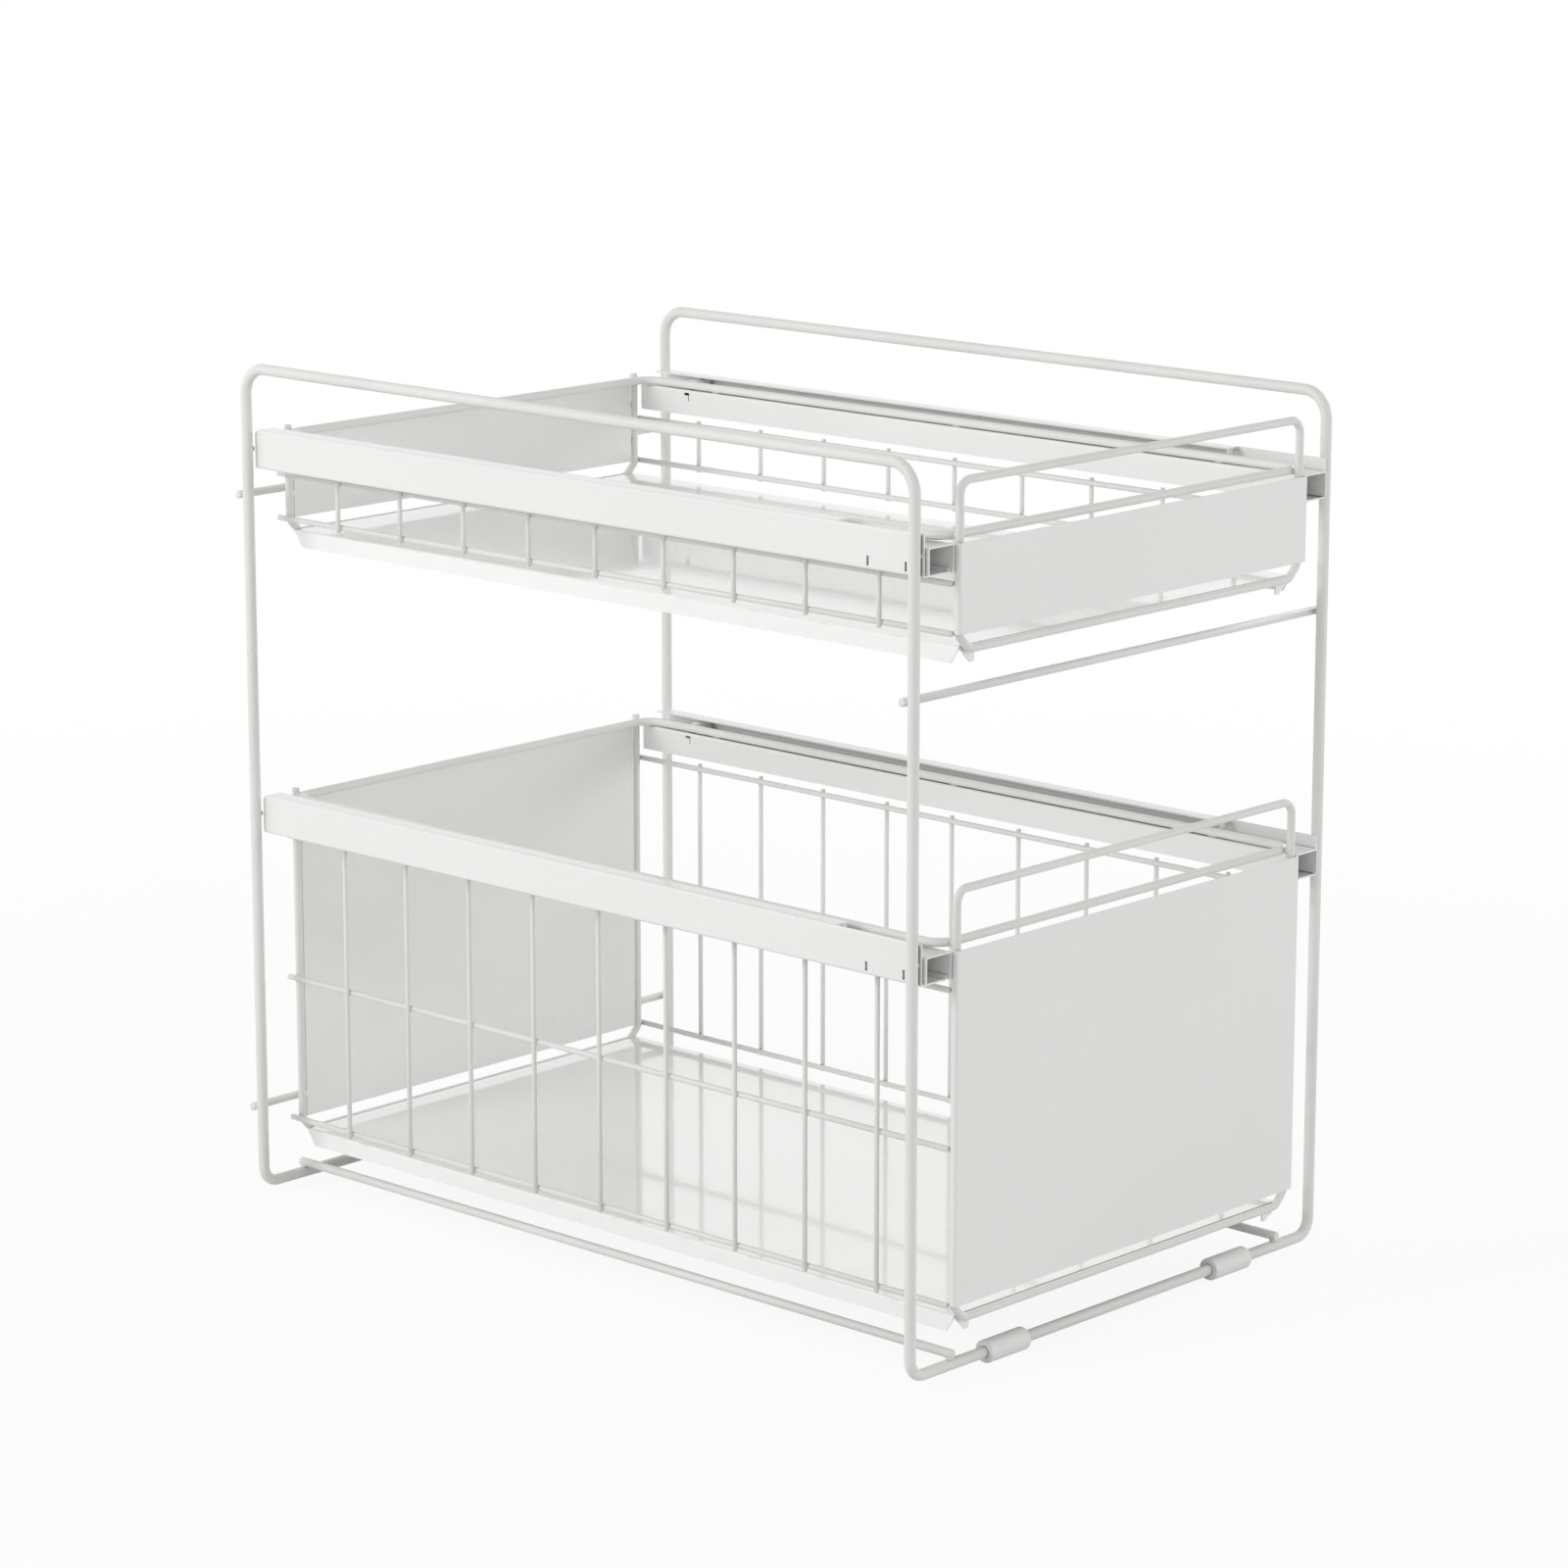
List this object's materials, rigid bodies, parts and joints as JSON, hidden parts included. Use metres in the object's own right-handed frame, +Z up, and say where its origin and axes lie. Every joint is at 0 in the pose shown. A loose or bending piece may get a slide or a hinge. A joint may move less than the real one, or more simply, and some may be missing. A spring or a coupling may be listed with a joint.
{
  "type": "pull-out basket",
  "caption": "Two-tier pull-out basket: bent-rod frame with folded sheet rails that carry a shallow and a deep wire-and-sheet basket, each sliding to the front.",
  "frame": {"origin": "on the floor plane, at the centre of the bounding box's underside", "axes": "+Z up, -Y towards the front where the baskets pull out, +X to the right seen from the front"},
  "size_m": [0.275, 0.4152, 0.3899],
  "materials": {
    "rod_powder_coat": "satin white powder coat on steel rod",
    "sheet_powder_coat": "satin white powder coat on steel sheet",
    "foot_plastic": "grey-white plastic, matt"
  },
  "bodies": {
    "frame": {"left_side_frame": "rod_powder_coat", "right_side_frame": "rod_powder_coat", "front_bottom_bar": "rod_powder_coat", "rear_bottom_bar": "rod_powder_coat", "front_cross_bar": "rod_powder_coat", "lower_rear_cross_bar": "rod_powder_coat", "upper_rear_cross_bar": "rod_powder_coat", "left_base_wire": "rod_powder_coat", "right_base_wire": "rod_powder_coat", "front_left_foot": "foot_plastic", "front_right_foot": "foot_plastic", "rear_left_foot": "foot_plastic", "rear_right_foot": "foot_plastic", "lower_left_rail": "sheet_powder_coat", "lower_right_rail": "sheet_powder_coat", "upper_left_rail": "sheet_powder_coat", "upper_right_rail": "sheet_powder_coat"},
    "lower_basket": {"lower_rim_wire": "rod_powder_coat", "lower_front_hoop": "rod_powder_coat", "lower_rear_hoop": "rod_powder_coat", "lower_front_panel": "sheet_powder_coat", "lower_rear_panel": "sheet_powder_coat", "lower_left_grid": "rod_powder_coat", "lower_right_grid": "rod_powder_coat", "lower_tray": "sheet_powder_coat", "lower_left_runner": "sheet_powder_coat", "lower_right_runner": "sheet_powder_coat"},
    "upper_basket": {"upper_rim_wire": "rod_powder_coat", "upper_front_hoop": "rod_powder_coat", "upper_rear_hoop": "rod_powder_coat", "upper_front_panel": "sheet_powder_coat", "upper_rear_panel": "sheet_powder_coat", "upper_left_grid": "rod_powder_coat", "upper_right_grid": "rod_powder_coat", "upper_tray": "sheet_powder_coat", "upper_left_runner": "sheet_powder_coat", "upper_right_runner": "sheet_powder_coat"}
  },
  "joints": [
    {"name": "lower_basket_slide", "type": "slide", "parent": "frame", "child": "lower_basket", "axis": [0, -1, 0], "range_m": [0, 0.32]},
    {"name": "upper_basket_slide", "type": "slide", "parent": "frame", "child": "upper_basket", "axis": [0, -1, 0], "range_m": [0, 0.32]}
  ]
}
